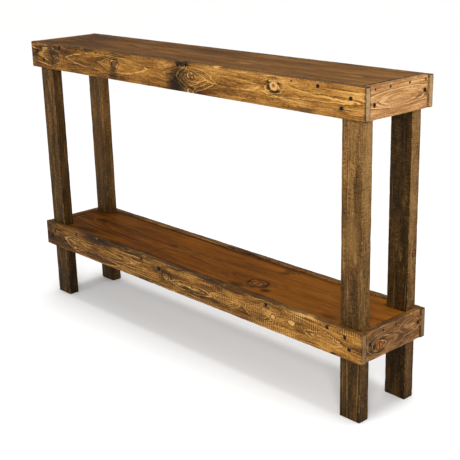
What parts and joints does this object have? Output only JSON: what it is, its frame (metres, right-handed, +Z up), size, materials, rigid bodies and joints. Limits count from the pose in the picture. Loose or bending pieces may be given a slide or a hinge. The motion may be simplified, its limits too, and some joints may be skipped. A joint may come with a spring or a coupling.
{
  "type": "console table",
  "caption": "Long narrow console table in worn brown-stained pine: a top and a low shelf let into plain board frames on flat legs, fixed with sunk dark screws.",
  "frame": {"origin": "on the floor, under the middle of the table", "axes": "+X along the length, +Y to the back, +Z up; -Y is the front"},
  "size_m": [1.524, 0.275, 0.937],
  "materials": {
    "frame_board": "worn satin stain over sawn pine",
    "top_board": "worn satin stain over planed pine",
    "shelf_board": "worn satin reddish stain over planed pine",
    "leg_wood": "matt dark stain over sawn pine",
    "screw_steel": "black phosphate, dull",
    "brad_steel": "dark coated steel, dull"
  },
  "bodies": {
    "root": {"top_deck": "top_board", "top_front_apron": "frame_board", "top_back_apron": "frame_board", "top_left_end_board": "frame_board", "top_right_end_board": "frame_board", "shelf_deck": "shelf_board", "shelf_front_apron": "frame_board", "shelf_back_apron": "frame_board", "shelf_left_end_board": "frame_board", "shelf_right_end_board": "frame_board", "leg_front_left": "leg_wood", "leg_front_right": "leg_wood", "leg_back_left": "leg_wood", "leg_back_right": "leg_wood", "top_front_leg_screws": "screw_steel", "top_back_leg_screws": "screw_steel", "shelf_front_leg_screws": "screw_steel", "shelf_back_leg_screws": "screw_steel", "top_left_end_screws": "screw_steel", "top_right_end_screws": "screw_steel", "shelf_left_end_screws": "screw_steel", "shelf_right_end_screws": "screw_steel", "top_front_deck_screws": "screw_steel", "top_back_deck_screws": "screw_steel", "shelf_front_deck_screws": "screw_steel", "shelf_back_deck_screws": "screw_steel", "top_front_brads": "brad_steel", "top_left_brads": "brad_steel", "top_right_brads": "brad_steel", "shelf_left_brads": "brad_steel", "shelf_right_brads": "brad_steel"}
  },
  "joints": []
}
